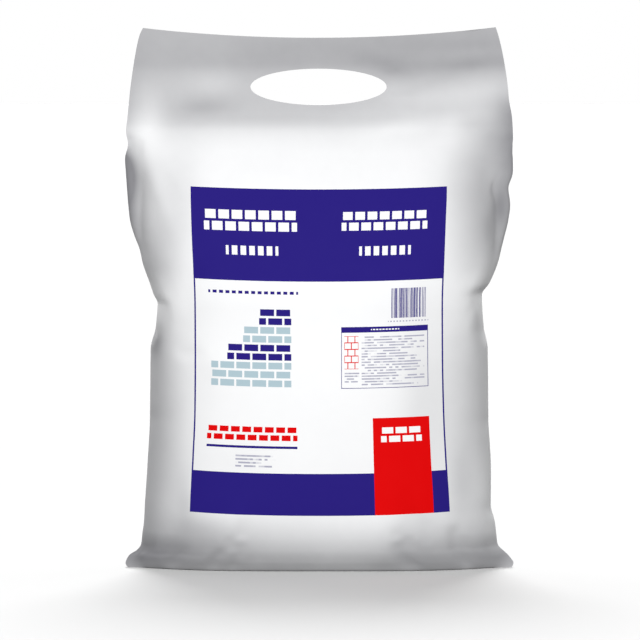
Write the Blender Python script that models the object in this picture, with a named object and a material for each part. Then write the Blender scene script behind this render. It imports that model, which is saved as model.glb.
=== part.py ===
"""A small cement bag of white plastic film that stands upright on its flat bottom.

The bag is a film tube, 160 mm wide when flat, that is sealed shut at both ends. Its lower part is full
of powder, and above a cross seal the two flat films make a flap with a die-cut oval hand hole. The film
and its fill are one solid of about one litre.

Metres, +Z up. The origin is on the floor, in the middle of the flat bottom. The front faces -Y.
"""

import math

import bmesh
import bpy

MM = 0.001

BAG_HEIGHT = 223 * MM
SEAL_HEIGHT = 187 * MM
FLAP_THICKNESS = 1.0 * MM

# The top edge dips in the middle, because the fill draws the film down there, and its right end is higher.
# These two shifts start from a height below the seal and grow with the square of the distance above it.
TOP_EDGE_DIP = 5.0 * MM
TOP_EDGE_TILT = 0.6 * MM
TOP_EDGE_PULL_FROM = 165 * MM

HAND_HOLE_CENTRE = (-0.4 * MM, 198.3 * MM)
HAND_HOLE_WIDTH = 56 * MM
HAND_HOLE_HEIGHT = 15.8 * MM
HAND_HOLE_SEGMENTS = 40
CUTTER_DEPTH = 60 * MM

# Columns of faces from one side edge to the other, closest together at the edges
COLUMNS = 32
# Each band of rows: from this height, up to that height, in this many steps
ROW_BANDS = (
    (0 * MM, 10 * MM, 6),
    (10 * MM, 92 * MM, 11),
    (92 * MM, 132 * MM, 8),
    (132 * MM, 165 * MM, 4),
    (165 * MM, SEAL_HEIGHT, 7),
    (SEAL_HEIGHT, BAG_HEIGHT, 6),
)

# The side edges, in millimetres: height, reach to the left of the middle, reach to the right.
# From the floor up: the ears of the bottom corners, the full belly, the waist, the shoulders, the flap.
SIDE_EDGES = (
    (0.0, 79.2, 79.4),
    (1.5, 80.0, 80.0),
    (4.5, 78.5, 77.8),
    (9.5, 74.1, 73.5),
    (14.0, 72.8, 72.4),
    (24.0, 72.1, 70.4),
    (42.0, 71.0, 70.3),
    (62.0, 69.1, 68.9),
    (90.0, 69.4, 69.2),
    (99.0, 67.8, 67.4),
    (108.5, 66.6, 66.5),
    (112.0, 67.6, 66.3),
    (117.0, 69.7, 69.0),
    (126.0, 73.0, 72.9),
    (136.0, 75.7, 75.2),
    (152.0, 78.9, 78.2),
    (165.0, 79.7, 79.4),
    (185.0, 79.4, 79.7),
    (197.0, 78.3, 77.8),
    (211.0, 76.2, 75.9),
    (219.0, 74.4, 74.4),
    (223.0, 72.6, 73.4),
)

# The profile seen from the side, in millimetres: height, half depth at the middle of the bag
BELLY_PROFILE = (
    (0.0, 16.0),
    (1.5, 18.2),
    (4.0, 20.3),
    (9.0, 22.4),
    (15.0, 23.6),
    (24.0, 24.4),
    (50.0, 25.0),
    (85.0, 25.4),
    (108.0, 25.2),
    (130.0, 21.4),
    (145.0, 17.8),
    (160.0, 14.4),
    (170.0, 11.6),
    (177.0, 8.8),
    (182.0, 5.8),
    (185.0, 3.0),
    (187.0, 0.0),
    (223.0, 0.0),
)

# How far the middle plane leans back, in millimetres: height, distance. The flap flops backwards.
BACKWARD_LEAN = (
    (0.0, 0.0),
    (130.0, 0.0),
    (160.0, 0.6),
    (177.0, 1.8),
    (187.0, 3.2),
    (198.0, 5.4),
    (210.0, 9.0),
    (223.0, 14.6),
)

# The belly's cross-section, depth = (1 - |across| ** fullness) ** roundness: height, fullness, roundness.
# A roundness of 0.5 turns round the side as an ellipse does, and over 1 thins out to a flat margin.
SECTION_SHAPE = (
    (0.0, 4.2, 1.5),
    (8.0, 3.8, 0.95),
    (16.0, 3.4, 0.62),
    (30.0, 3.2, 0.54),
    (120.0, 3.2, 0.54),
    (150.0, 3.4, 0.60),
    (170.0, 3.6, 0.75),
    (180.0, 3.4, 1.0),
    (187.0, 3.2, 1.4),
    (223.0, 3.2, 1.4),
)

FILM_COLOUR = (0.90, 0.90, 0.92, 1.0)
FILM_ROUGHNESS = 0.35


def between(knots, height, column):
    """One column of a table of knots at this height in metres, on a smooth curve that doesn't overshoot."""
    z = [knot[0] * MM for knot in knots]
    v = [knot[column] for knot in knots]
    slopes = [(v[i + 1] - v[i]) / (z[i + 1] - z[i]) for i in range(len(z) - 1)]
    tangents = [slopes[0], *(harmonic(a, b) for a, b in zip(slopes, slopes[1:])), slopes[-1]]
    i = max(k for k in range(len(slopes)) if k == 0 or z[k] <= height)
    span = z[i + 1] - z[i]
    s = min(max((height - z[i]) / span, 0.0), 1.0)
    rise = s * s * (3 - 2 * s)
    return (
        v[i] * (1 - rise)
        + v[i + 1] * rise
        + span * tangents[i] * s * (1 - s) ** 2
        - span * tangents[i + 1] * s * s * (1 - s)
    )


def harmonic(a, b):
    """The slope at a knot between two spans, which is zero where the curve turns round."""
    return 2 * a * b / (a + b) if a * b > 0 else 0.0


def row_heights():
    """The heights of the rows of points, closest together where the film turns most."""
    heights = [ROW_BANDS[0][0]]
    for low, high, steps in ROW_BANDS:
        heights += [low + (high - low) * step / steps for step in range(1, steps + 1)]
    return heights


def film_point(across, height, side):
    """A point of the film. across goes from -1 at the left edge to 1 at the right, side is -1 in front."""
    reach = between(SIDE_EDGES, height, 1 if across < 0 else 2) * MM
    fullness = between(SECTION_SHAPE, height, 1)
    roundness = between(SECTION_SHAPE, height, 2)
    belly = between(BELLY_PROFILE, height, 1) * MM
    depth = belly * (1 - abs(across) ** fullness) ** roundness + FLAP_THICKNESS / 2
    lean = between(BACKWARD_LEAN, height, 1) * MM
    pull = max(0.0, (height - TOP_EDGE_PULL_FROM) / (BAG_HEIGHT - TOP_EDGE_PULL_FROM)) ** 2
    drop = TOP_EDGE_DIP * (1 - across * across) - TOP_EDGE_TILT * across
    return (across * reach, lean + side * depth, height - pull * drop)


def film_bag():
    """The closed bag: a front and a back grid of faces, joined at the sides, the top and the flat bottom."""
    mesh = bmesh.new()
    heights = row_heights()
    steps = [math.sin(math.pi / 2 * (2 * column / COLUMNS - 1)) for column in range(COLUMNS + 1)]
    front, back = (
        [[mesh.verts.new(film_point(across, height, side)) for across in steps] for height in heights]
        for side in (-1, 1)
    )
    for low, high in zip(range(len(heights) - 1), range(1, len(heights))):
        for left, right in zip(range(COLUMNS), range(1, COLUMNS + 1)):
            mesh.faces.new((front[low][left], front[low][right], front[high][right], front[high][left]))
            mesh.faces.new((back[low][right], back[low][left], back[high][left], back[high][right]))
        mesh.faces.new((back[low][0], front[low][0], front[high][0], back[high][0]))
        mesh.faces.new((front[low][-1], back[low][-1], back[high][-1], front[high][-1]))
    for left, right in zip(range(COLUMNS), range(1, COLUMNS + 1)):
        mesh.faces.new((front[-1][left], front[-1][right], back[-1][right], back[-1][left]))
    mesh.faces.new([*back[0], *reversed(front[0])])
    return new_object("bag", mesh)


def hand_hole_cutter():
    """An oval bar through the flap, from front to back."""
    mesh = bmesh.new()
    turns = [2 * math.pi * step / HAND_HOLE_SEGMENTS for step in range(HAND_HOLE_SEGMENTS)]
    outline = [
        (
            HAND_HOLE_CENTRE[0] + HAND_HOLE_WIDTH / 2 * math.cos(turn),
            -CUTTER_DEPTH / 2,
            HAND_HOLE_CENTRE[1] + HAND_HOLE_HEIGHT / 2 * math.sin(turn),
        )
        for turn in turns
    ]
    face = mesh.faces.new([mesh.verts.new(point) for point in outline])
    pushed = bmesh.ops.extrude_face_region(mesh, geom=[face])["geom"]
    moved = [item for item in pushed if isinstance(item, bmesh.types.BMVert)]
    bmesh.ops.translate(mesh, verts=moved, vec=(0, CUTTER_DEPTH, 0))
    bmesh.ops.recalc_face_normals(mesh, faces=mesh.faces)
    cutter = new_object("hand_hole_cutter", mesh)
    cutter.hide_render = True
    cutter.display_type = "WIRE"
    return cutter


def new_object(name, mesh):
    """An object in the scene that holds this mesh."""
    data = bpy.data.meshes.new(name)
    mesh.to_mesh(data)
    mesh.free()
    made = bpy.data.objects.new(name, data)
    bpy.context.scene.collection.objects.link(made)
    return made


def film_material():
    """White polyethylene film, a little glossy."""
    material = bpy.data.materials.new("white_film")
    material.use_nodes = True
    shader = material.node_tree.nodes["Principled BSDF"]
    shader.inputs["Base Color"].default_value = FILM_COLOUR
    shader.inputs["Roughness"].default_value = FILM_ROUGHNESS
    shader.inputs["Metallic"].default_value = 0.0
    return material


def main():
    for old in list(bpy.data.objects):
        bpy.data.objects.remove(old)
    bag = film_bag()
    bag.data.materials.append(film_material())
    hole = bag.modifiers.new("hand_hole", "BOOLEAN")
    hole.operation = "DIFFERENCE"
    hole.object = hand_hole_cutter()
    bag.data.shade_smooth()
    bag.data.set_sharp_from_angle(angle=math.radians(40))


main()
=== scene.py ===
"""The looks of a small cement bag: its film as one fine mesh with folds, welds and a printed front.

The film follows the CAD bag's own formulas on a much finer grid, but is thinner than it close under the
seal. A cloth simulation, in which the film is too long at its side edges as on any pillow-shaped bag, gives
it its puckers. A few soft folds and dents are listed one by one. The print is a pattern in the film's
material, made of plain motifs.

Metres, +Z up, and the front faces -Y. Where a table is in millimetres, the comment over it says so.
"""

import math

import bpy
import numpy as np
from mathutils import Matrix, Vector


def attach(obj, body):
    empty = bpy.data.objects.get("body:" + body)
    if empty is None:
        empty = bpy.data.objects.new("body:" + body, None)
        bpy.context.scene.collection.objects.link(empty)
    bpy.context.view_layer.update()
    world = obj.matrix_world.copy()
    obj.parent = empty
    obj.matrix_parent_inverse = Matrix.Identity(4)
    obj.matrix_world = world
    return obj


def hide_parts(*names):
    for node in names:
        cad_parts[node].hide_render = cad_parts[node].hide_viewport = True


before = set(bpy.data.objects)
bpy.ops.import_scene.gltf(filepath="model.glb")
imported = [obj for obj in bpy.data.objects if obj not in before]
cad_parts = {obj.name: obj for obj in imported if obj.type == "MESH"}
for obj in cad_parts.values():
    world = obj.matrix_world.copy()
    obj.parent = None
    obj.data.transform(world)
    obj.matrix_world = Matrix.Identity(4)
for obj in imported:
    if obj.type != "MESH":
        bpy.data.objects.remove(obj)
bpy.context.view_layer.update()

MM = 0.001

BAG_HEIGHT = 222.2 * MM
SEAL_HEIGHT = 187 * MM
# The front and the back film are at least this far apart
FILM_GAP = 0.5 * MM

# The top edge dips in the middle, because the fill draws the film down there, and its right end is higher.
# Both shifts start from a height below the seal and grow with the square of the distance above it.
TOP_EDGE_DIP = 4.2 * MM
TOP_EDGE_TILT = 0.15 * MM
TOP_EDGE_PULL_FROM = 165 * MM
# A point's height on the flat film is found from its height on the bag by this many corrections
PULL_CORRECTIONS = 8

HAND_HOLE_CENTRE = (-0.4 * MM, 197.8 * MM)
HAND_HOLE_WIDTH = 56 * MM
HAND_HOLE_HEIGHT = 14.9 * MM

# The side edges, in millimetres: height, reach to the left of the middle, reach to the right
SIDE_EDGES = (
    (0.0, 79.2, 79.4),
    (1.5, 80.0, 80.0),
    (4.8, 78.6, 77.9),
    (7.0, 75.6, 75.9),
    (9.5, 74.0, 73.9),
    (14.0, 73.4, 73.2),
    (19.0, 72.7, 72.5),
    (26.0, 72.2, 71.0),
    (42.0, 71.1, 70.8),
    (62.0, 70.2, 69.9),
    (90.0, 70.0, 69.7),
    (99.0, 68.3, 68.4),
    (108.5, 67.8, 68.0),
    (112.0, 69.1, 68.0),
    (117.0, 70.6, 70.6),
    (126.0, 73.4, 73.9),
    (131.0, 74.5, 75.1),
    (136.0, 76.2, 76.3),
    (143.0, 78.1, 77.9),
    (150.0, 78.9, 78.8),
    (156.0, 79.4, 78.6),
    (163.0, 79.9, 79.8),
    (168.0, 80.2, 79.8),
    (174.0, 79.3, 79.6),
    (179.0, 79.5, 79.4),
    (185.0, 78.9, 79.1),
    (193.0, 78.2, 77.8),
    (197.0, 77.8, 77.5),
    (211.0, 75.9, 75.5),
    (219.0, 74.3, 73.7),
    (223.0, 72.5, 72.5),
)
# From this share of the way out on, the film follows the small notches of those edges. Further in, it passes
# over them: it follows the mean of the edge's reach at these steps up and down, in millimetres. The foot has
# no such notches, so this sets in between these two heights.
NOTCHES_FROM = 0.8
NOTCHES_ABOVE = (25 * MM, 40 * MM)
NOTCH_STEPS = (-9, -6, -3, 0, 3, 6, 9)

# The profile seen from the side, in millimetres: height, half depth at the middle of the bag. It is the CAD
# bag's from 20 to 120 mm. Below that it is up to 1.4 mm thinner, and above it up to 5.2 mm thinner.
BELLY_PROFILE = (
    (0.0, 14.6),
    (1.5, 16.8),
    (4.0, 19.4),
    (9.0, 22.2),
    (15.0, 23.6),
    (24.0, 24.4),
    (50.0, 25.0),
    (85.0, 25.4),
    (108.0, 25.2),
    (130.0, 21.2),
    (145.0, 17.2),
    (158.0, 12.6),
    (168.0, 8.0),
    (175.0, 4.6),
    (180.0, 2.2),
    (184.0, 0.6),
    (187.0, 0.0),
    (223.0, 0.0),
)

# How far the middle plane leans back, in millimetres: height, distance
BACKWARD_LEAN = (
    (0.0, 0.0),
    (130.0, 0.0),
    (160.0, 0.6),
    (177.0, 1.8),
    (187.0, 3.2),
    (198.0, 5.4),
    (210.0, 9.0),
    (223.0, 14.6),
)

# The belly's cross-section, depth = (1 - |across| ** fullness) ** roundness: height, fullness, roundness
SECTION_SHAPE = (
    (0.0, 4.2, 1.5),
    (8.0, 3.8, 0.95),
    (16.0, 3.4, 0.62),
    (30.0, 3.2, 0.54),
    (120.0, 3.2, 0.54),
    (150.0, 3.3, 0.62),
    (170.0, 3.6, 0.75),
    (180.0, 3.4, 1.0),
    (187.0, 3.2, 1.4),
    (223.0, 3.2, 1.4),
)

# The film's grid. The simulation runs on every fourth row and column of the belly.
COLUMNS = 168
BASE_ROWS = 16
# Each band of rows: from this height, up to that height, in this many steps
ROW_BANDS = (
    (0 * MM, 16 * MM, 24),
    (16 * MM, 168 * MM, 156),
    (168 * MM, SEAL_HEIGHT, 28),
)
FLAP_ROWS = 36
FLAP_RINGS = 16
CLOTH_STRIDE = 4
# The columns are evenly spaced along the film at this height, which is measured in this many steps
COLUMNS_EVEN_AT = 60 * MM
MEASURING_STEPS = 4000

# Faces that meet at more than this angle, in degrees, meet in a sharp edge
SHARP_ANGLE = 60

# Where the parts of the film lie on its texture map: left, right, low, high. The front comes first.
BELLY_ISLANDS = ((0.01, 0.63, 0.01, 0.77), (0.65, 0.99, 0.01, 0.50))
FLAP_ISLANDS = ((0.01, 0.63, 0.79, 0.97), (0.65, 0.99, 0.52, 0.64))
BASE_ISLANDS = ((0.65, 0.99, 0.66, 0.72), (0.65, 0.99, 0.74, 0.80))
# The first of the thin strips that join front and back. The others lie above it, each this much higher.
FIRST_STRIP_ISLAND = (0.65, 0.99, 0.84, 0.85)
STRIP_ISLAND_STEP = 0.02
FLAP_ISLAND_WIDTH = 160 * MM

# Each half of the base is a lens between the rim and the weld along the middle. The middle row ends inside
# the bottom corners by this share of their reach, the weld's half width is this share of the lens's
# half depth, and the film arches up between weld and rim.
BASE_CORNER_INSET = 0.03
WELD_SHARE = 0.15
BASE_ARCH = 0.7 * MM

# Blender's cloth is tuned for things about a metre long, so the film is simulated at ten times its size
CLOTH_SCALE = 10.0
CLOTH_FRAMES = 24
CLOTH_SETTINGS = {
    "quality": 6,
    "mass": 0.3,
    "tension_stiffness": 40,
    "compression_stiffness": 40,
    "shear_stiffness": 20,
    "bending_stiffness": 3,
    "pin_stiffness": 0.3,
    "uniform_pressure_force": 2,
}
# The film is too long by this share at its side edges, and less and less inwards up to this share of the way
EDGE_EXCESS = 0.03
EXCESS_STARTS = 0.4
# How firmly the film is held, in its middle and at its side edges
PIN_MIDDLE = 0.3
PIN_EDGE = 0.1
# The film's simulated way is a broad drift, which these rounds of blurring find, and puckers on it. These
# shares of them are kept, and no point moves further than the limit.
DRIFT_BLURS = 3
PUCKER_SHARE = 0.6
DRIFT_SHARE = 0.15
PUCKER_LIMIT = 1.7 * MM
PUCKERS_END_BELOW_SEAL = 18 * MM
# The share of the puckers that stays, at each height in millimetres: left half, right half. The waist,
# where the belly narrows, is smooth. From a share of the way out on, more of them stay, up to all of them
# at the side edges.
PUCKERS_KEPT = (
    (0.0, 1.0, 1.0),
    (85.0, 1.0, 1.0),
    (95.0, 0.4, 0.4),
    (105.0, 0.1, 0.1),
    (120.0, 0.1, 0.1),
    (130.0, 0.8, 0.1),
    (165.0, 1.0, 0.1),
    (180.0, 1.0, 1.0),
    (187.0, 1.0, 1.0),
)
HALVES_MEET = 30 * MM
ALL_KEPT_FROM = 0.85

# Soft folds, in millimetres: x, height, half length, half width, turn in degrees from level, rise.
# A rise below zero is a dent.
FRONT_FOLDS = (
    (-66.0, 179.0, 13.0, 9.0, 70.0, 1.0),
    (-83.0, 158.0, 22.0, 11.0, 99.0, -5.0),
    (-66.5, 157.0, 16.0, 3.4, 110.0, 0.6),
    (-58.0, 160.0, 9.0, 2.6, 128.0, 0.3),
    (86.0, 160.0, 30.0, 19.0, 94.0, -5.5),
    (-66.0, 62.5, 8.0, 3.5, 20.0, -0.3),
    (54.0, 182.0, 8.0, 6.0, 60.0, 0.6),
    (72.0, 143.0, 9.0, 5.0, 80.0, -0.4),
    (66.0, 61.0, 8.0, 3.5, -15.0, -0.3),
    (-36.0, 15.0, 14.0, 5.5, 89.0, 0.5),
    (-26.0, 14.0, 13.0, 4.5, 91.0, -0.5),
    (26.0, 15.0, 15.0, 5.5, 90.0, 0.5),
    (36.0, 15.0, 15.0, 5.0, 90.0, -0.5),
    (-60.0, 12.0, 11.0, 4.0, 72.0, -0.5),
    (58.0, 12.0, 11.0, 4.0, 106.0, -0.5),
)
BACK_FOLDS = (
    (-70.0, 181.0, 13.0, 6.0, 75.0, -1.4),
    (70.0, 183.0, 15.0, 8.0, 112.0, 1.5),
    (73.0, 158.0, 15.0, 5.0, 84.0, -1.8),
    (-67.0, 108.0, 12.0, 3.0, 10.0, -1.0),
    (66.0, 107.0, 12.0, 3.0, -6.0, -1.0),
    (-40.0, 12.0, 11.0, 3.0, 84.0, -0.6),
    (22.0, 13.0, 11.0, 3.0, 95.0, 0.6),
    (47.0, 12.0, 10.0, 3.0, 98.0, -0.6),
)
# The same for the flap, whose two films move together. A rise is towards the front.
FLAP_FOLDS = (
    (-47.0, 196.0, 9.0, 4.0, 5.0, -0.9),
    (28.0, 193.0, 14.0, 4.0, -6.0, -0.8),
    (46.0, 203.0, 30.0, 4.5, 22.0, 1.3),
    (66.0, 211.0, 10.0, 3.5, 12.0, -1.0),
    (-62.0, 208.0, 16.0, 8.0, 100.0, 0.9),
    (-20.0, 216.0, 24.0, 6.0, 4.0, -0.7),
    (60.0, 219.0, 14.0, 4.0, -10.0, 0.7),
)
# The belly's folds set in between these heights, end below the seal over this height, and need this depth
# of the bag to be whole. The flap's folds set in over this height above the seal.
FOLDS_SET_IN = (0.5 * MM, 6 * MM)
FOLDS_END_BELOW_SEAL = 5 * MM
FOLDS_NEED_DEPTH = 12 * MM
FLAP_FOLDS_SET_IN = 9 * MM

CAMERA_ELEVATION = 3.5
CAMERA_LENS = 240.0
CAMERA_CLIP = (0.01, 20.0)
SENSOR = 36.0
VIEW_WIDTH = 263.2 * MM
AIM = Vector((0.2 * MM, 0.0, 102.1 * MM))

# The light of the dome around the bag, from below to above, and between which heights on it the one turns
# into the other
DOME_LIGHT = (0.03, 0.26)
DOME_TURNS = (-0.6, 0.6)

FLOOR_REACH = 30.0
FLOOR_COLOUR = (0.25, 0.25, 0.25, 1)
FLOOR_ROUGHNESS = 0.9
# The floor's suns: name, direction towards it, angle in degrees, energy, whether it throws a shadow.
# The first four throw the soft shadow around the foot and in front of the bag, the last keeps it pale.
FLOOR_SUNS = (
    ("low_behind", (0, 0.9, 1), 30, 5.0, True),
    ("high_behind", (0, 0.6, 1), 30, 0.85, True),
    ("low_left", (-0.8, 0.8, 1), 30, 0.65, True),
    ("low_right", (1.2, 0.6, 1), 30, 0.38, True),
    ("floor_fill", (0, 0, 1), 0, 4.95, False),
)
# The film's lamps: name, place, size, power in watts
FILM_LAMPS = (
    ("key", (-0.03, -1.3, 0.42), 0.6, 17.1),
    ("back_left", (-0.8, 1.05, 0.4), 0.5, 9.0),
    ("back_right", (0.8, 1.05, 0.4), 0.5, 9.0),
)

# The printed panel, in millimetres on the flat film: u to the right of the middle, v up from the base
PANEL_EDGE = 52.5
PANEL_SAG = 1.2
# The panel's side edges as they lie on the full bag, in millimetres: height, left, right
PANEL_SIDES = (
    (20.0, 53.1, 53.4),
    (30.0, 52.7, 52.9),
    (48.0, 51.8, 51.7),
    (66.0, 51.0, 50.8),
    (88.0, 50.8, 50.3),
    (110.0, 50.9, 50.2),
    (125.0, 51.4, 50.7),
    (140.0, 52.1, 51.3),
    (158.0, 52.6, 52.0),
    (223.0, 52.6, 52.0),
)
# Boxes on the panel: left, right, low, high
HEADER = (-PANEL_EDGE, PANEL_EDGE, 120.3, 157.4)
WHITE_FIELD = (-PANEL_EDGE, PANEL_EDGE, 42.2, 120.3)
FOOTER = (-PANEL_EDGE, PANEL_EDGE, 25.0, 42.2)
RED_BLOCK = (22.3, 46.0, 25.0, 64.7)
FRAME_LINE = 0.65
# Walls of small bricks: box, columns, courses, gap between bricks
HEADER_WALLS = (
    ((-47.3, -9.2, 139.8, 149.2), 7, 2, 1.1),
    ((9.2, 44.8, 140.2, 148.8), 7, 2, 1.1),
    ((-38.6, -17.0, 130.0, 135.0), 6, 1, 1.3),
    ((16.6, 38.2, 130.0, 135.0), 6, 1, 1.3),
)
RED_BLOCK_WALL = ((25.6, 42.6, 54.3, 61.3), 3, 2, 1.0)
SUBLINE = ((-46.5, -8.9, 114.5, 116.7), 14, 1, 1.0)
NAME_PLACE_WALL = ((-46.8, -9.1, 55.0, 61.6), 8, 2, 1.0)
NAME_PLACE_RULE = (-46.8, -9.1, 52.3, 53.3)
# The boxes of a wall in steps, each one with fewer bricks in a course than the one under it
WALL_STEPS = (
    ((-45.4, -11.8, 77.0, 87.8), 5, 3, 0.9),
    ((-38.7, -11.8, 87.8, 95.0), 4, 2, 0.9),
    ((-32.0, -11.8, 95.0, 102.2), 3, 2, 0.9),
    ((-25.3, -11.8, 102.2, 109.4), 2, 2, 0.9),
)
BAR_FIELD = (30.5, 45.2, 105.2, 117.2)
BAR_PITCH = 0.62
# The narrowest and the widest bar, as shares of the pitch
BAR_WIDTHS = (0.2, 0.9)
BAR_FOOTNOTE = ((29.0, 46.2, 103.3, 104.4), 13, 1, 0.6)
TABLE = (9.2, 46.0, 76.9, 101.9)
TABLE_TITLE_FROM = 99.6
TABLE_TITLE_WALL = ((21.8, 33.8, 100.3, 101.2), 9, 1, 0.4)
TABLE_LINE = 0.25
TABLE_WALL = ((10.5, 16.5, 84.8, 98.2), 2, 5, 0.4)
# Rows of small print: box, pitch of the rows, length of a dash
TABLE_NOTE = ((10.6, 16.8, 79.4, 83.4), 1.13, 0.9)
TABLE_TEXT = ((17.8, 44.4, 78.2, 98.5), 1.13, 1.3)
ADDRESS = ((-34.6, -17.8, 44.6, 50.2), 1.4, 1.2)
# A dash fills this share of its row's height. A random number from 0 to 1 leaves it out below the first
# of these values, and makes it full above the second.
DASH_HEIGHT = 0.5
DASH_DICE = (0.1, 0.5)
# The shortest and the longest row, as shares of the box's width. The box cuts off what passes it.
ROW_LENGTHS = (0.55, 1.15)
# The print's places in millimetres are divided by this for the texture that draws bricks
BRICK_UNIT = 10.0

BLUE = (0.021, 0.0115, 0.2, 1)
RED = (0.745, 0.0005, 0.001, 1)
PALE_BLUE = (0.43, 0.56, 0.62, 1)
GREY_INK = (0.42, 0.42, 0.52, 1)
WHITE_INK = (0.93, 0.935, 0.94, 1)
# The white ink of the panel's field is thin, and lets the film's own tone through, painted shade included
FIELD_OPACITY = 0.3
# The film's tone with powder behind it and with none. The painted shade and light mix between them, and past
# them.
FILLED_FILM = (0.885, 0.89, 0.90, 1)
EMPTY_FILM = (0.33, 0.33, 0.345, 1)

# How white the film is at each height in millimetres: 1 where powder lies close behind it. It is less at the
# foot, under the seal and in the flap, partly as the film stands clear of the powder there and partly as
# painted
# shade: darker towards the floor at the foot, darker up towards the seal, and darker still in the flap.
POWDER_AND_SHADE_BY_HEIGHT = (
    (0.0, 0.52),
    (2.5, 0.34),
    (5.0, 0.31),
    (10.0, 0.41),
    (15.0, 0.58),
    (20.0, 0.78),
    (25.0, 0.92),
    (31.0, 1.0),
    (170.0, 1.0),
    (174.0, 0.96),
    (177.0, 0.90),
    (180.0, 0.79),
    (183.0, 0.57),
    (186.5, 0.42),
    (190.0, 0.35),
    (197.0, 0.32),
    (203.0, 0.26),
    (208.0, 0.14),
    (213.0, 0.14),
    (223.0, 0.19),
)
# Along the side edges the film is painted greyer too, as painted shade where it turns away from the light.
# These margins start at this share of the way out on the left and on the right, and are at their greyest
# from the last share on.
MARGIN_FROM = (0.67, 0.60)
MARGIN_FULL = 0.95
# How much painted shade greys the left and the right margin at each height in millimetres
MARGIN_SHADE = (
    (0.0, 0.34, 0.20),
    (30.0, 0.60, 0.34),
    (82.0, 0.58, 0.42),
    (92.0, 0.55, 0.38),
    (103.0, 0.24, 0.16),
    (110.0, 0.04, 0.02),
    (117.0, 0.16, 0.06),
    (126.0, 0.44, 0.42),
    (136.0, 0.46, 0.66),
    (150.0, 0.34, 0.78),
    (165.0, 0.26, 0.80),
    (176.0, 0.10, 0.74),
    (188.0, 0.0, 0.30),
    (200.0, 0.0, 0.0),
)
# Soft spots of painted shade and painted light, where the film is greyer or whiter: x, height, half length,
# half width, turn, change
SHADE_AND_LIGHT_SPOTS = (
    (-6.0, 78.0, 42.0, 34.0, 90.0, 0.1),
    (42.0, 62.0, 50.0, 9.5, 90.0, -0.36),
    (-48.5, 68.0, 45.0, 6.0, 90.0, -0.09),
    (-33.0, 46.0, 14.0, 8.0, 0.0, -0.07),
    (-57.5, 98.0, 20.0, 6.0, 90.0, 0.13),
    (-79.5, 163.0, 14.0, 5.6, 97.0, -1.2),
    (-77.8, 144.0, 10.0, 4.5, 101.0, -0.4),
    (-65.5, 122.5, 10.0, 5.0, 129.0, -0.13),
    (-62.0, 138.0, 8.0, 10.0, 90.0, -0.08),
    (-51.0, 20.0, 6.0, 5.0, 0.0, -0.12),
    (-53.5, 28.5, 4.5, 4.0, 90.0, -0.13),
    (-67.5, 95.5, 6.5, 3.2, 90.0, -0.6),
    (-70.5, 184.0, 12.0, 7.0, 84.0, 0.27),
    (-81.0, 192.0, 14.0, 6.0, 84.0, -0.14),
    (62.0, 195.0, 32.0, 6.0, 8.0, 0.26),
    (-44.0, 199.5, 14.0, 5.5, 0.0, 0.14),
    (30.0, 196.0, 7.0, 6.0, 0.0, 0.07),
    (-46.0, 215.0, 36.0, 10.0, 0.0, 0.08),
    (-46.5, 189.5, 10.0, 3.4, 2.0, -0.16),
    (-24.0, 184.5, 34.0, 3.5, 0.0, -0.08),
    (26.0, 207.5, 16.0, 4.0, -14.0, -0.1),
    (60.0, 206.3, 16.0, 3.4, 8.0, -0.13),
    (62.0, 215.5, 16.0, 3.0, 0.0, -0.07),
    (30.0, 204.0, 6.0, 2.2, 0.0, -0.1),
    (38.0, 182.0, 20.0, 3.5, 8.0, 0.18),
    (54.0, 183.0, 5.0, 5.0, 60.0, 0.12),
    (64.0, 187.0, 10.0, 5.0, 0.0, 0.14),
    (57.0, 178.0, 9.0, 5.0, 0.0, 0.1),
    (56.0, 157.0, 22.0, 12.0, 90.0, -0.24),
    (71.5, 159.0, 9.0, 3.4, 90.0, 0.13),
    (74.2, 149.0, 9.0, 3.4, 92.0, -0.3),
    (69.0, 140.0, 6.0, 3.0, 90.0, -0.1),
    (65.5, 101.5, 9.0, 3.2, 94.0, -0.3),
    (-57.0, 154.0, 24.0, 9.0, 90.0, -0.24),
    (57.0, 37.0, 15.0, 4.5, 90.0, -0.22),
    (67.5, 33.0, 14.0, 4.0, 92.0, 0.2),
    (-55.0, 31.0, 13.0, 4.5, 90.0, -0.2),
    (-66.0, 6.0, 30.0, 8.0, 8.0, -0.32),
    (-47.0, 18.0, 14.0, 6.0, 0.0, -0.18),
    (8.0, 11.0, 30.0, 12.0, 0.0, 0.15),
    (12.0, 1.0, 16.0, 3.0, 0.0, 0.08),
    (26.0, 20.0, 26.0, 6.0, 0.0, 0.06),
    (38.0, 13.0, 14.0, 12.0, 0.0, -0.09),
    (34.0, 8.0, 9.0, 4.0, 90.0, -0.1),
    (71.0, 15.5, 6.0, 3.5, 90.0, 0.22),
    (68.0, 5.0, 16.0, 6.0, 0.0, -0.2),
    (81.0, 176.0, 20.0, 8.0, 92.0, -0.34),
    (80.0, 188.0, 7.0, 6.0, 90.0, -0.1),
)
# Behind the bag's middle plane these spots fade, and from this depth on only this share of them is left
SPOTS_FADE_OVER = 8 * MM
SPOTS_LEFT_BEHIND = 0.35
# The limits of that whiteness. Below 0 it is the painted shade of a dark fold, darker than bare film, and
# above 1 it is painted light, whiter than film on powder.
POWDER_AND_SHADE_RANGE = (-0.12, 1.1)
# Patches of thicker and thinner powder all over the film: size in millimetres, the noise's detail, change
POWDER_CLOUDS = ((24.0, 2.0, 0.10), (5.0, 2.0, 0.05))
# Fine wrinkles of the film all over: size in millimetres, the noise's detail, height in millimetres
WRINKLES = ((9.0, 3.0, 0.10), (2.2, 3.0, 0.014))
WRINKLE_STRETCH = (1.0, 1.0, 0.45)
# The bare film's gloss varies in patches: size in millimetres, the noise's detail. The print is duller.
GLOSS_PATCHES = (7.0, 4.0)
FILM_ROUGHNESS = (0.44, 0.56)
INK_ADDS_ROUGHNESS = 0.24
FILM_SPECULAR = 0.07


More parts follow.
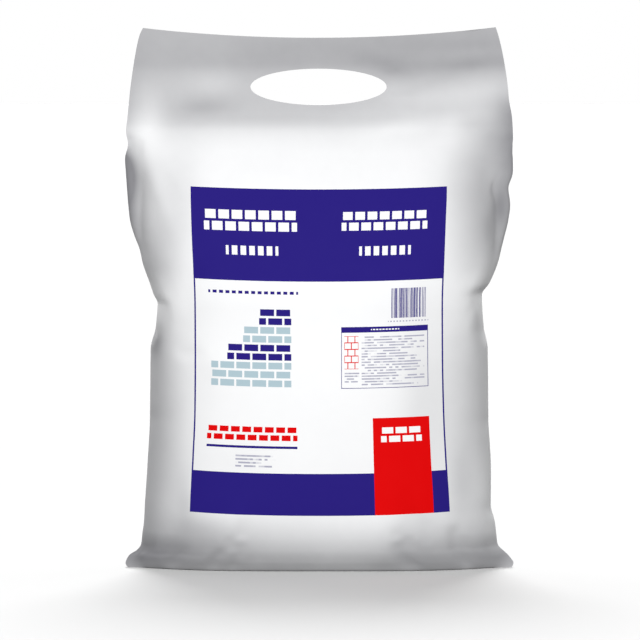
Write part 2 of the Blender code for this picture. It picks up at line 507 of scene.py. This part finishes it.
def curve(knots, column, heights):
    """A column of a table of knots at these heights, on a smooth curve that doesn't overshoot."""
    z = np.array([knot[0] for knot in knots]) * MM
    v = np.array([knot[column] for knot in knots])
    slope = np.diff(v) / np.diff(z)
    before, after = slope[:-1], slope[1:]
    turning = before * after <= 0
    inner = np.where(turning, 0.0, 2 * before * after / np.where(turning, 1.0, before + after))
    tangent = np.concatenate([slope[:1], inner, slope[-1:]])
    i = np.clip(np.searchsorted(z, heights, side="right") - 1, 0, len(slope) - 1)
    span = z[i + 1] - z[i]
    s = np.clip((heights - z[i]) / span, 0.0, 1.0)
    rise = s * s * (3 - 2 * s)
    return (
        v[i] * (1 - rise)
        + v[i + 1] * rise
        + span * tangent[i] * s * (1 - s) ** 2
        - span * tangent[i + 1] * s * s * (1 - s)
    )


def smooth_step(value, low, high):
    """0 below low, 1 above high, and a smooth rise between."""
    s = np.clip((value - low) / (high - low), 0.0, 1.0)
    return s * s * (3 - 2 * s)


def reach(across, height):
    """How far the side edge is from the middle, on the side where across lies."""
    left = curve(SIDE_EDGES, 1, height)
    right = curve(SIDE_EDGES, 2, height)
    return np.where(across < 0, left, right) * MM


def film_reach(across, height):
    """The reach that the film's columns follow. The inner ones pass over the side edge's small notches."""
    own = reach(across, height)
    broad = sum(reach(across, height + step * MM) for step in NOTCH_STEPS) / len(NOTCH_STEPS)
    inner = 1 - smooth_step(np.abs(across), NOTCHES_FROM, 1.0)
    return own + (broad - own) * inner * smooth_step(height, *NOTCHES_ABOVE)


def top_pull(across, height):
    """How far the film is drawn down here, below its height on the flat film."""
    share = np.clip((height - TOP_EDGE_PULL_FROM) / (BAG_HEIGHT - TOP_EDGE_PULL_FROM), 0, None) ** 2
    return share * (TOP_EDGE_DIP * (1 - across**2) - TOP_EDGE_TILT * across)


def film_point(across, height, side, share=1.0):
    """Points of the film: x, y, z. A share below 1 lies under the bag, and 0 is the middle of the base."""
    fullness = curve(SECTION_SHAPE, 1, height)
    roundness = curve(SECTION_SHAPE, 2, height)
    belly = curve(BELLY_PROFILE, 1, height) * MM
    section = np.clip(1 - np.abs(across) ** fullness, 0, None) ** roundness
    depth = belly * section * share + FILM_GAP / 2
    lean = curve(BACKWARD_LEAN, 1, height) * MM
    x = across * film_reach(across, height) * (1 - BASE_CORNER_INSET * (1 - share))
    z = height - top_pull(across, height)
    return np.stack(np.broadcast_arrays(x, lean + side * depth, z), axis=-1)


def column_places():
    """Where the columns lie across the bag, from -1 to 1, evenly spaced along the belly's film."""
    across = np.linspace(-1, 1, MEASURING_STEPS + 1)
    path = film_point(across, np.full_like(across, COLUMNS_EVEN_AT), -1)
    length = np.concatenate([[0], np.cumsum(np.linalg.norm(np.diff(path, axis=0), axis=1))])
    return np.interp(np.linspace(0, length[-1], COLUMNS + 1), length, across)


def row_places():
    """The height of each row of the belly and its share, from the middle of the base up to the seal."""
    heights = [0.0] * BASE_ROWS
    shares = [row / BASE_ROWS for row in range(BASE_ROWS)]
    heights.append(0.0)
    for low, high, steps in ROW_BANDS:
        heights += [low + (high - low) * step / steps for step in range(1, steps + 1)]
    shares += [1.0] * (len(heights) - len(shares))
    return np.array(heights), np.array(shares)


def belly_sheets(across, heights, shares):
    """The front and the back of the belly, as a grid of points each: row, column, coordinate."""
    sheets = [
        film_point(across[None, :], heights[:, None], side, shares[:, None]) for side in (-1, 1)
    ]
    # The base stands on its rim and on the weld along its middle
    arch = np.sin(np.pi * smooth_step(shares, WELD_SHARE, 1.0))[:, None] * (1 - across[None, :] ** 2)
    for sheet in sheets:
        sheet[..., 2] += BASE_ARCH * arch
    return sheets


def new_object(name, data):
    """An object in the scene."""
    made = bpy.data.objects.new(name, data)
    bpy.context.scene.collection.objects.link(made)
    return made


def make_pouch(sheets):
    """An open-bottomed pouch of the two sheets, its points, and both sheets' grids of point numbers."""
    rows, columns = sheets[0].shape[:2]
    front = np.arange(rows * columns).reshape(rows, columns)
    back = np.full((rows, columns), -1)
    shared = (np.s_[-1], np.s_[:, 0], np.s_[:, -1])
    for line in shared:
        back[line] = front[line]
    apart = back < 0
    back[apart] = front.size + np.arange(apart.sum())
    place = np.zeros((back.max() + 1, 3))
    place[back] = sheets[1]
    place[front] = sheets[0]
    for line in shared:
        place[front[line]] = (sheets[0][line] + sheets[1][line]) / 2
    faces = np.concatenate([grid_faces(front), grid_faces(back)[:, ::-1]])
    mesh = bpy.data.meshes.new("pouch")
    mesh.from_pydata((place * CLOTH_SCALE).tolist(), [], faces.tolist())
    return new_object("pouch", mesh), place, (front, back)


def weigh_pouch(pouch, grids):
    """Gives the pouch two groups: taut, where the film isn't too long, and held, how firmly it is held."""
    # Both run from the middle of the film, where inside is 1, to its side edges, where it is 0
    rows, columns = grids[0].shape
    across = np.abs(np.linspace(-1, 1, columns))[None, :] + np.zeros((rows, 1))
    inside = 1 - np.clip((across - EXCESS_STARTS) / (1 - EXCESS_STARTS), 0, 1)
    count = len(pouch.data.vertices)
    taut, held = np.zeros(count), np.zeros(count)
    for grid in grids:
        taut[grid] = inside
        held[grid] = PIN_EDGE + (PIN_MIDDLE - PIN_EDGE) * inside
    front, back = grids
    for line in (front[-1], front[0], back[0]):
        held[line] = 1.0
    for name, weights in (("taut", taut), ("held", held)):
        group = pouch.vertex_groups.new(name=name)
        for index, weight in enumerate(weights):
            group.add([index], float(weight), "REPLACE")


def settle_pouch(pouch):
    """Runs the cloth simulation, removes the pouch, and gives the places where its points came to lie."""
    cloth = pouch.modifiers.new("cloth", "CLOTH")
    settings = cloth.settings
    for name, value in CLOTH_SETTINGS.items():
        setattr(settings, name, value)
    settings.vertex_group_mass = "held"
    settings.vertex_group_shrink = "taut"
    settings.shrink_min = -EDGE_EXCESS
    settings.shrink_max = 0
    settings.use_pressure = True
    settings.effector_weights.gravity = 0
    cloth.collision_settings.use_collision = False
    cloth.point_cache.frame_end = CLOTH_FRAMES
    for number in range(1, CLOTH_FRAMES + 1):
        bpy.context.scene.frame_set(number)
    done = pouch.evaluated_get(bpy.context.evaluated_depsgraph_get()).data
    place = np.zeros(len(done.vertices) * 3, np.float32)
    done.vertices.foreach_get("co", place)
    bpy.context.scene.frame_set(1)
    mesh = pouch.data
    bpy.data.objects.remove(pouch)
    bpy.data.meshes.remove(mesh)
    return place.reshape(-1, 3) / CLOTH_SCALE


def simulate_puckers(belly):
    """How far each point of the belly's two sheets moves, from a cloth simulation on a coarser grid."""
    pouch, place, grids = make_pouch([sheet[BASE_ROWS::CLOTH_STRIDE, ::CLOTH_STRIDE] for sheet in belly])
    weigh_pouch(pouch, grids)
    moved = settle_pouch(pouch) - place
    fields = []
    for sheet, grid in zip(belly, grids):
        drift = blurred(moved[grid])
        field = (moved[grid] - drift) * PUCKER_SHARE + drift * DRIFT_SHARE
        length = np.linalg.norm(field, axis=-1, keepdims=True)
        field = field / (1 + (length / PUCKER_LIMIT) ** 2) ** 0.5
        whole = np.zeros(sheet.shape)
        whole[BASE_ROWS:] = finer(field)
        fields.append(whole)
    return fields


def blurred(field):
    """The field's broad drift, without its puckers."""
    for axis in (0, 1):
        for _ in range(DRIFT_BLURS):
            f = np.moveaxis(field, axis, 0)
            padded = np.concatenate([f[:1], f, f[-1:]])
            f = (padded[:-2] + 2 * padded[1:-1] + padded[2:]) / 4
            padded = np.concatenate([f[:1], f[:1], f, f[-1:], f[-1:]])
            f = (padded[:-4] + 2 * padded[2:-2] + padded[4:]) / 4
            field = np.moveaxis(f, 0, axis)
    return field


def finer(field):
    """The coarse grid's field on the fine grid, on a cubic curve through its values."""
    for _ in range(int(math.log2(CLOTH_STRIDE))):
        for axis in (0, 1):
            f = np.moveaxis(field, axis, 0)
            padded = np.concatenate([2 * f[:1] - f[1:2], f, 2 * f[-1:] - f[-2:-1]])
            middle = (9 * (padded[1:-2] + padded[2:-1]) - padded[:-3] - padded[3:]) / 16
            out = np.empty((2 * len(f) - 1, *f.shape[1:]))
            out[::2], out[1::2] = f, middle
            field = np.moveaxis(out, 0, axis)
    return field


def spots(x, z, entries):
    """The sum of soft oval spots: x, height, half length, half width, turn and strength in entries."""
    total = np.zeros(np.broadcast(x, z).shape)
    for centre_x, centre_z, length, width, turn, strength in entries:
        c, s = math.cos(math.radians(turn)), math.sin(math.radians(turn))
        right, up = x / MM - centre_x, z / MM - centre_z
        along = (right * c + up * s) / length
        beside = (up * c - right * s) / width
        total += strength * np.exp(-(along**2) - beside**2)
    return total


def outward(sheet, side):
    """The unit normals of a grid of points."""
    along = np.gradient(sheet, axis=0)
    beside = np.gradient(sheet, axis=1)
    normal = np.cross(beside, along) * -side
    length = np.linalg.norm(normal, axis=-1, keepdims=True)
    return normal / np.maximum(length, 1e-12)


def fold_belly(belly):
    """Adds the simulated puckers and the listed folds, and keeps the films apart and above the floor."""
    for sheet, field in zip(belly, simulate_puckers(belly)):
        x, z = sheet[..., 0], sheet[..., 2]
        left, right = curve(PUCKERS_KEPT, 1, z), curve(PUCKERS_KEPT, 2, z)
        kept = left + (right - left) * smooth_step(x, -HALVES_MEET, HALVES_MEET)
        kept += (1 - kept) * smooth_step(np.abs(x) / reach(x, z), ALL_KEPT_FROM, 1.0)
        kept *= smooth_step(SEAL_HEIGHT - z, 0, PUCKERS_END_BELOW_SEAL)
        sheet += field * kept[..., None]
    shaped = []
    for sheet, side, folds in zip(belly, (-1, 1), (FRONT_FOLDS, BACK_FOLDS)):
        x, z = sheet[..., 0], sheet[..., 2]
        # Folds fade out at the seal, at the floor and where the two films meet
        depth = np.abs(belly[1][..., 1] - belly[0][..., 1])
        fade = smooth_step(z, *FOLDS_SET_IN) * smooth_step(SEAL_HEIGHT - z, 0, FOLDS_END_BELOW_SEAL)
        fade = fade * smooth_step(depth, FILM_GAP, FOLDS_NEED_DEPTH)
        rise = spots(x, z, folds) * MM * fade
        rise[:BASE_ROWS + 1] = 0
        shaped.append(sheet + outward(sheet, side) * rise[..., None])
    front, back = shaped
    middle = (front[..., 1] + back[..., 1]) / 2
    front[..., 1] = np.minimum(front[..., 1], middle - FILM_GAP / 2)
    back[..., 1] = np.maximum(back[..., 1], middle + FILM_GAP / 2)
    for sheet in shaped:
        sheet[..., 2] = np.maximum(sheet[..., 2], 0)
    return shaped


def flap_height(x, z):
    """The height on the flat film of a point that ends at x, z."""
    height = z.copy()
    for _ in range(PULL_CORRECTIONS):
        across = np.clip(x / reach(x, height), -1, 1)
        height = z + top_pull(across, height)
    return height


def flap_rings(across):
    """The flap as rings of points from its border, ring 0, in to the hand hole's rim: ring, turn, x and z.

    The border starts with the row of points on the seal, from left to right, and goes round.
    """
    rows = np.linspace(SEAL_HEIGHT, BAG_HEIGHT, FLAP_ROWS + 1)
    top = across[::-1]
    border_across = np.concatenate([across, np.ones(FLAP_ROWS), top[1:], -np.ones(FLAP_ROWS - 1)])
    border_height = np.concatenate(
        [np.full(len(across), SEAL_HEIGHT), rows[1:], np.full(len(top) - 1, BAG_HEIGHT), rows[-2:0:-1]]
    )
    border = film_point(border_across, border_height, -1)[:, [0, 2]]
    centre = np.array(HAND_HOLE_CENTRE)
    away = border - centre
    below, above = -away[:, 1].min(), away[:, 1].max()
    half_height = np.where(away[:, 1] < 0, below, above)
    half_width = np.abs(away[:, 0]).max()
    turn = np.arctan2(away[:, 1] / half_height, away[:, 0] / half_width)
    rim = centre + np.stack(
        [HAND_HOLE_WIDTH / 2 * np.cos(turn), HAND_HOLE_HEIGHT / 2 * np.sin(turn)], axis=-1
    )
    step = (np.arange(FLAP_RINGS + 1) / FLAP_RINGS)[:, None, None]
    return border * (1 - step) + rim * step


def flap_sheets(across):
    """The front and the back of the flap as a grid of points each: ring, turn, coordinate."""
    rings = flap_rings(across)
    x, z = rings[..., 0], rings[..., 1]
    height = flap_height(x, z)
    lean = curve(BACKWARD_LEAN, 1, height) * MM
    rise = spots(x, z, FLAP_FOLDS) * MM * smooth_step(height - SEAL_HEIGHT, 0, FLAP_FOLDS_SET_IN)
    return [np.stack([x, lean - rise + side * FILM_GAP / 2, z], axis=-1) for side in (-1, 1)]


def grid_faces(grid):
    """The four-sided faces of a grid of point numbers."""
    corners = (grid[:-1, :-1], grid[:-1, 1:], grid[1:, 1:], grid[1:, :-1])
    return np.stack(corners, axis=-1).reshape(-1, 4)


class FilmMesh:
    """Collects the film's points, its faces, and the places of the faces' corners on the texture map."""

    def __init__(self):
        self.points, self.faces, self.uvs = [], [], []
        self.count = 0

    def add_points(self, points):
        """Adds points and gives their numbers, in the same grid."""
        numbers = self.count + np.arange(points[..., 0].size).reshape(points.shape[:-1])
        self.points.append(points.reshape(-1, 3))
        self.count += numbers.size
        return numbers

    def add_faces(self, grid, island, u=None, v=None, flip=False):
        """Adds a grid's faces. u and v are its points' places on the island, from 0 to 1, or even steps."""
        if u is None:
            v, u = np.meshgrid(*(np.linspace(0, 1, count) for count in grid.shape), indexing="ij")
        left, right, low, high = island
        place = np.stack([left + (right - left) * u, low + (high - low) * v], axis=-1)
        corners = grid_faces(np.arange(grid.size).reshape(grid.shape))
        if flip:
            corners = corners[:, ::-1]
        self.faces.append(grid.reshape(-1)[corners])
        self.uvs.append(place.reshape(-1, 2)[corners])

    def to_object(self, name):
        """The mesh as an object, with its texture map."""
        mesh = bpy.data.meshes.new(name)
        mesh.from_pydata(np.concatenate(self.points).tolist(), [], np.concatenate(self.faces).tolist())
        layer = mesh.uv_layers.new(name="OFBake")
        layer.data.foreach_set("uv", np.concatenate(self.uvs).astype(np.float32).ravel())
        return new_object(name, mesh)


def build_film(belly, flap, heights, shares):
    """One closed mesh of the belly's and the flap's sheets, with strips that join front and back."""
    film = FilmMesh()
    rows, columns = belly[0].shape[:2]
    grids, rings = [], []
    for side in range(2):
        grid = film.add_points(belly[side])
        border = film.add_points(flap[side][0, columns:])
        inner = film.add_points(flap[side][1:])
        ring = np.concatenate([np.concatenate([grid[-1], border])[None], inner])
        grids.append(grid)
        rings.append(np.concatenate([ring, ring[:, :1]], axis=1))

    bottom, body = np.s_[:BASE_ROWS + 1], np.s_[BASE_ROWS:]
    even = np.linspace(0, 1, columns)[None, :] + np.zeros((rows, 1))
    under = shares[:, None] + np.zeros((1, columns))
    up = (heights / SEAL_HEIGHT)[:, None] + np.zeros((1, columns))
    for side, (grid, ring) in enumerate(zip(grids, rings)):
        flip = side == 1
        film.add_faces(grid[bottom], BASE_ISLANDS[side], even[bottom], under[bottom], flip)
        film.add_faces(grid[body], BELLY_ISLANDS[side], even[body], up[body], flip)
        x, z = (np.concatenate([flap[side][..., k], flap[side][:, :1, k]], axis=1) for k in (0, 2))
        u = x / FLAP_ISLAND_WIDTH + 0.5
        v = np.clip((z - SEAL_HEIGHT) / (BAG_HEIGHT - SEAL_HEIGHT), 0, 1)
        film.add_faces(ring, FLAP_ISLANDS[side], u, v, flip)

    front, back = grids
    border = np.s_[0, columns - 1:]
    strips = [
        np.stack([back[:, 0], front[:, 0]]),
        np.stack([front[:, -1], back[:, -1]]),
        np.stack([front[0], back[0]]),
        np.stack([rings[0][border], rings[1][border]]),
        np.stack([rings[1][-1], rings[0][-1]]),
    ]
    left, right, low, high = FIRST_STRIP_ISLAND
    for number, strip in enumerate(strips):
        step = STRIP_ISLAND_STEP * number
        film.add_faces(strip.T, (left, right, low + step, high + step))
    return film.to_object("film")


def make_camera():
    """The camera, a little above the bag's middle and far in front of it."""
    data = bpy.data.cameras.new("camera")
    data.lens = CAMERA_LENS
    data.sensor_width = SENSOR
    data.clip_start, data.clip_end = CAMERA_CLIP
    camera = new_object("camera", data)
    distance = VIEW_WIDTH * CAMERA_LENS / SENSOR
    rise = math.radians(CAMERA_ELEVATION)
    back = Vector((0, -math.cos(rise), math.sin(rise)))
    camera.location = AIM + back * distance
    camera.rotation_euler = back.to_track_quat("Z", "Y").to_euler()
    bpy.context.scene.camera = camera


def area_light(name, place, size, power):
    """A round lamp that points at the middle of the bag."""
    data = bpy.data.lights.new(name, "AREA")
    data.shape = "DISK"
    data.size = size
    data.energy = power
    lamp = new_object(name, data)
    lamp.location = place
    lamp.rotation_euler = (Vector(place) - AIM).to_track_quat("Z", "Y").to_euler()
    return lamp


def node(tree, kind, inputs, output=0, **settings):
    """A new node's output. inputs maps a socket's name or number to a value or to another node's output."""
    made = tree.nodes.new("ShaderNode" + kind)
    for name, value in settings.items():
        setattr(made, name, value)
    for key, value in inputs.items():
        if isinstance(value, bpy.types.NodeSocket):
            tree.links.new(value, made.inputs[key])
        else:
            made.inputs[key].default_value = value
    return made.outputs[output]


def calc(tree, operation, *values):
    """The result of a Math node."""
    return node(tree, "Math", dict(enumerate(values)), operation=operation)


def vector(tree, operation, *values):
    """The result of a Vector Math node."""
    return node(tree, "VectorMath", dict(enumerate(values)), operation=operation)


def box_mask(tree, place, box):
    """1 inside a box on the front of the film, and 0 elsewhere."""
    left, right, low, high = box
    away = vector(tree, "SUBTRACT", place, ((left + right) / 2, (low + high) / 2, 1))
    away = vector(tree, "ABSOLUTE", away)
    away = vector(tree, "SUBTRACT", away, ((right - left) / 2, (high - low) / 2, 0.5))
    split = node(tree, "SeparateXYZ", {0: away}).node
    beyond = calc(tree, "MAXIMUM", split.outputs[0], split.outputs[1])
    beyond = calc(tree, "MAXIMUM", beyond, split.outputs[2])
    return calc(tree, "LESS_THAN", beyond, 0.0)


def bricks(tree, place, box, columns, courses, gap):
    """1 on the bricks of a wall that fills the box, and 0 in its joints and outside."""
    left, right, low, high = box
    inputs = {
        "Vector": vector(tree, "SUBTRACT", place, (left, low, 1)),
        "Scale": 1 / BRICK_UNIT,
        "Mortar Size": gap / 2 / BRICK_UNIT,
        "Mortar Smooth": 0.0,
        "Brick Width": (right - left) / columns / BRICK_UNIT,
        "Row Height": (high - low) / courses / BRICK_UNIT,
    }
    joints = node(tree, "TexBrick", inputs, output=1, offset=0.5)
    return calc(tree, "MULTIPLY", calc(tree, "SUBTRACT", 1.0, joints), box_mask(tree, place, box))


def painted(tree, under, ink, mask):
    """The colour under it, with ink where the mask is 1."""
    # A Mix node's two colours are its inputs 6 and 7, and the mixed colour is its output 2
    return node(tree, "Mix", {0: mask, 6: under, 7: ink}, output=2, data_type="RGBA")


def steps_of(tree, place, axis, start, pitch):
    """The number of whole steps from start along u or v, and the share of the step that is left."""
    part = node(tree, "SeparateXYZ", {0: place}, output=axis)
    steps = calc(tree, "DIVIDE", calc(tree, "SUBTRACT", part, start), pitch)
    return calc(tree, "FLOOR", steps), calc(tree, "FRACT", steps)


def bars(tree, place):
    """Upright bars of uneven width."""
    step, share = steps_of(tree, place, 0, BAR_FIELD[0], BAR_PITCH)
    dice = node(tree, "TexWhiteNoise", {"W": step}, noise_dimensions="1D")
    narrowest, widest = BAR_WIDTHS
    width = calc(tree, "MULTIPLY_ADD", dice, widest - narrowest, narrowest)
    return calc(tree, "MULTIPLY", calc(tree, "LESS_THAN", share, width), box_mask(tree, place, BAR_FIELD))


def grey_rows(tree, place, box, pitch, dash):
    """Rows of short dashes of uneven strength, as a page of small print looks from afar.

    Each row has a length of its own.
    """
    left, right, low, _ = box
    row, share = steps_of(tree, place, 1, low, pitch)
    step, _ = steps_of(tree, place, 0, left, dash)
    cell = node(tree, "CombineXYZ", {0: step, 1: row})
    dice = node(tree, "TexWhiteNoise", {"Vector": cell}, noise_dimensions="2D")
    strength = node(tree, "MapRange", {"Value": dice, "From Min": DASH_DICE[0], "From Max": DASH_DICE[1]})
    shortest, longest = ((right - left) * length for length in ROW_LENGTHS)
    end = node(tree, "TexWhiteNoise", {"W": row}, noise_dimensions="1D")
    end = calc(tree, "MULTIPLY_ADD", end, longest - shortest, left + shortest)
    before_end = calc(tree, "LESS_THAN", node(tree, "SeparateXYZ", {0: place}), end)
    within = calc(tree, "MULTIPLY", before_end, calc(tree, "LESS_THAN", share, DASH_HEIGHT))
    inked = calc(tree, "MULTIPLY", strength, within)
    return calc(tree, "MULTIPLY", inked, box_mask(tree, place, box))


def panel_layers(tree, place):
    """The print's inks from the lowest to the topmost, each with the mask that it is printed through."""
    field = calc(tree, "MULTIPLY", box_mask(tree, place, WHITE_FIELD), FIELD_OPACITY)
    layers = [(WHITE_INK, field)]
    for left in (-PANEL_EDGE, PANEL_EDGE - FRAME_LINE):
        layers.append((BLUE, box_mask(tree, place, (left, left + FRAME_LINE, *WHITE_FIELD[2:]))))
    layers += [(BLUE, box_mask(tree, place, box)) for box in (HEADER, FOOTER)]
    layers.append((RED, box_mask(tree, place, RED_BLOCK)))
    layers += [(WHITE_INK, bricks(tree, place, *wall)) for wall in (*HEADER_WALLS, RED_BLOCK_WALL)]
    return layers


def motif_layers(tree, place):
    """The inks of the motifs on the white field, with their masks."""
    layers = [(BLUE, bricks(tree, place, *SUBLINE))]
    for number, step in enumerate(WALL_STEPS):
        layers.append((BLUE if number % 2 else PALE_BLUE, bricks(tree, place, *step)))
    layers.append((BLUE, bars(tree, place)))
    layers.append((GREY_INK, bricks(tree, place, *BAR_FOOTNOTE)))
    left, right, low, _ = TABLE
    inner = (left + TABLE_LINE, right - TABLE_LINE, low + TABLE_LINE, TABLE_TITLE_FROM)
    outline = calc(tree, "SUBTRACT", box_mask(tree, place, TABLE), box_mask(tree, place, inner))
    layers.append((BLUE, outline))
    layers.append((WHITE_INK, bricks(tree, place, *TABLE_TITLE_WALL)))
    layers.append((RED, box_mask(tree, place, TABLE_WALL[0])))
    layers.append((WHITE_INK, bricks(tree, place, *TABLE_WALL)))
    layers += [(GREY_INK, grey_rows(tree, place, *rows)) for rows in (TABLE_NOTE, TABLE_TEXT, ADDRESS)]
    layers.append((RED, bricks(tree, place, *NAME_PLACE_WALL)))
    layers.append((BLUE, box_mask(tree, place, NAME_PLACE_RULE)))
    return layers


def noise(tree, place, size, detail):
    """Soft noise around 0, within about half up or down, with lumps of this size in millimetres."""
    texture = node(tree, "TexNoise", {"Vector": place, "Scale": 1 / (size * MM), "Detail": detail})
    return calc(tree, "SUBTRACT", texture, 0.5)


def film_material():
    """White satin film, greyer where no powder lies behind it, with painted shade and painted light in its
    tone, and with the print on its front.
    """
    material = bpy.data.materials.new("film")
    material.use_nodes = True
    tree = material.node_tree
    shader = tree.nodes["Principled BSDF"]
    place = node(tree, "Attribute", {}, output=1, attribute_name="film")
    # The powder attribute holds the film's whiteness, with painted shade and painted light in it
    powder = node(tree, "Attribute", {}, output=2, attribute_name="powder")
    solid = node(tree, "TexCoord", {}, output=3)
    for size, detail, change in POWDER_CLOUDS:
        powder = calc(tree, "MULTIPLY_ADD", noise(tree, solid, size, detail), change, powder)
    # Unclamped: below 0 the painted shade of folds is darker than bare film, above 1 painted light is whiter
    films = {0: powder, 6: EMPTY_FILM, 7: FILLED_FILM}
    colour = node(tree, "Mix", films, output=2, data_type="RGBA", clamp_factor=False)
    for ink, mask in panel_layers(tree, place) + motif_layers(tree, place):
        colour = painted(tree, colour, ink, mask)
    tree.links.new(colour, shader.inputs["Base Color"])

    smooth, rough = FILM_ROUGHNESS
    patches = noise(tree, solid, *GLOSS_PATCHES)
    roughness = calc(tree, "MULTIPLY_ADD", patches, rough - smooth, (rough + smooth) / 2)
    panel = box_mask(tree, place, (-PANEL_EDGE, PANEL_EDGE, FOOTER[2], HEADER[3]))
    roughness = calc(tree, "MULTIPLY_ADD", panel, INK_ADDS_ROUGHNESS, roughness)
    tree.links.new(roughness, shader.inputs["Roughness"])
    shader.inputs["Specular IOR Level"].default_value = FILM_SPECULAR

    stretched = vector(tree, "MULTIPLY", solid, WRINKLE_STRETCH)
    height = 0.0
    for size, detail, rise in WRINKLES:
        height = calc(tree, "MULTIPLY_ADD", noise(tree, stretched, size, detail), rise * MM, height)
    bump = node(tree, "Bump", {"Height": height, "Distance": 1.0})
    tree.links.new(bump, shader.inputs["Normal"])
    return material


def add_attributes(film):
    """Gives each point its place on the printed film, and how white the film is there: how much powder lies
    behind it, with painted shade and painted light.
    """
    co = np.zeros(len(film.data.vertices) * 3, np.float32)
    film.data.vertices.foreach_get("co", co)
    x, y, z = co.reshape(-1, 3).T.astype(float)
    middle = curve(BACKWARD_LEAN, 1, z) * MM

    # On the full bag the panel is narrower in places than on the flat film, and its middle hangs lower
    half = np.where(x < 0, curve(PANEL_SIDES, 1, z), curve(PANEL_SIDES, 2, z))
    u = x / MM / half * PANEL_EDGE
    v = z / MM + PANEL_SAG * (1 - (u / PANEL_EDGE) ** 2)
    place = np.stack([u, v, y < middle], axis=-1)
    layer = film.data.attributes.new("film", "FLOAT_VECTOR", "POINT")
    layer.data.foreach_set("vector", place.astype(np.float32).ravel())

    # Whiteness with painted shade by height and along the side edges, and spots of painted shade and painted
    # light
    grey = np.where(x < 0, curve(MARGIN_SHADE, 1, z), curve(MARGIN_SHADE, 2, z))
    margin = smooth_step(np.abs(x) / reach(x, z), np.where(x < 0, *MARGIN_FROM), MARGIN_FULL)
    powder = curve(POWDER_AND_SHADE_BY_HEIGHT, 1, z) * (1 - grey * margin)
    kept = 1 + (SPOTS_LEFT_BEHIND - 1) * smooth_step(y - middle, 0, SPOTS_FADE_OVER)
    powder = np.clip(powder + spots(x, z, SHADE_AND_LIGHT_SPOTS) * kept, *POWDER_AND_SHADE_RANGE)
    layer = film.data.attributes.new("powder", "FLOAT", "POINT")
    layer.data.foreach_set("value", powder.astype(np.float32))


def make_stage():
    """The floor, and the suns that only the floor receives."""
    mesh = bpy.data.meshes.new("floor")
    corners = [(x * FLOOR_REACH, y * FLOOR_REACH, 0) for x, y in ((-1, -1), (1, -1), (1, 1), (-1, 1))]
    mesh.from_pydata(corners, [], [(0, 1, 2, 3)])
    floor = bpy.data.objects.new("floor", mesh)
    lit = bpy.data.collections.new("lit_from_above")
    bpy.context.scene.collection.children.link(lit)
    lit.objects.link(floor)
    material = bpy.data.materials.new("floor")
    material.use_nodes = True
    shader = material.node_tree.nodes["Principled BSDF"]
    shader.inputs["Base Color"].default_value = FLOOR_COLOUR
    shader.inputs["Roughness"].default_value = FLOOR_ROUGHNESS
    mesh.materials.append(material)
    # The floor throws no light back on the bag
    floor.visible_diffuse = False
    for name, towards, angle, energy, shadow in FLOOR_SUNS:
        data = bpy.data.lights.new(name, "SUN")
        data.angle = math.radians(angle)
        data.energy = energy
        data.use_shadow = shadow
        sun = new_object(name, data)
        sun.rotation_euler = Vector(towards).to_track_quat("Z", "Y").to_euler()
        sun.light_linking.receiver_collection = lit


def light_film(film):
    """The lamps that only the film receives: one in front, and two weaker ones behind."""
    shone_on = bpy.data.collections.new("lit_by_lamps")
    bpy.context.scene.collection.children.link(shone_on)
    shone_on.objects.link(film)
    for lamp in FILM_LAMPS:
        area_light(*lamp).light_linking.receiver_collection = shone_on


def make_world():
    """A world that the camera sees as plain white, and that lights the bag as a dim dome, darker below."""
    world = bpy.data.worlds.new("world")
    bpy.context.scene.world = world
    world.use_nodes = True
    tree = world.node_tree
    seen = node(tree, "Background", {"Color": (1, 1, 1, 1), "Strength": 1.0})
    place = node(tree, "TexCoord", {})
    height = node(tree, "SeparateXYZ", {0: place}, output=2)
    ramp = dict(zip(("From Min", "From Max", "To Min", "To Max"), (*DOME_TURNS, *DOME_LIGHT)))
    shade = node(tree, "MapRange", {"Value": height, **ramp}, interpolation_type="SMOOTHSTEP")
    light = node(tree, "Background", {"Color": shade, "Strength": 1.0})
    camera_ray = node(tree, "LightPath", {})
    mixed = node(tree, "MixShader", {0: camera_ray, 1: light, 2: seen})
    tree.links.new(mixed, tree.nodes["World Output"].inputs["Surface"])


def main():
    """Makes the film, which replaces the CAD bag, and then the camera, the floor and the lights."""
    across = column_places()
    heights, shares = row_places()
    belly = fold_belly(belly_sheets(across, heights, shares))
    film = build_film(belly, flap_sheets(across), heights, shares)
    film.data.shade_smooth()
    film.data.set_sharp_from_angle(angle=math.radians(SHARP_ANGLE))
    film.data.materials.append(film_material())
    add_attributes(film)
    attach(film, "root")
    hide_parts("bag")
    make_camera()
    make_stage()
    make_world()
    light_film(film)
    bpy.context.scene.view_settings.view_transform = "Standard"


main()
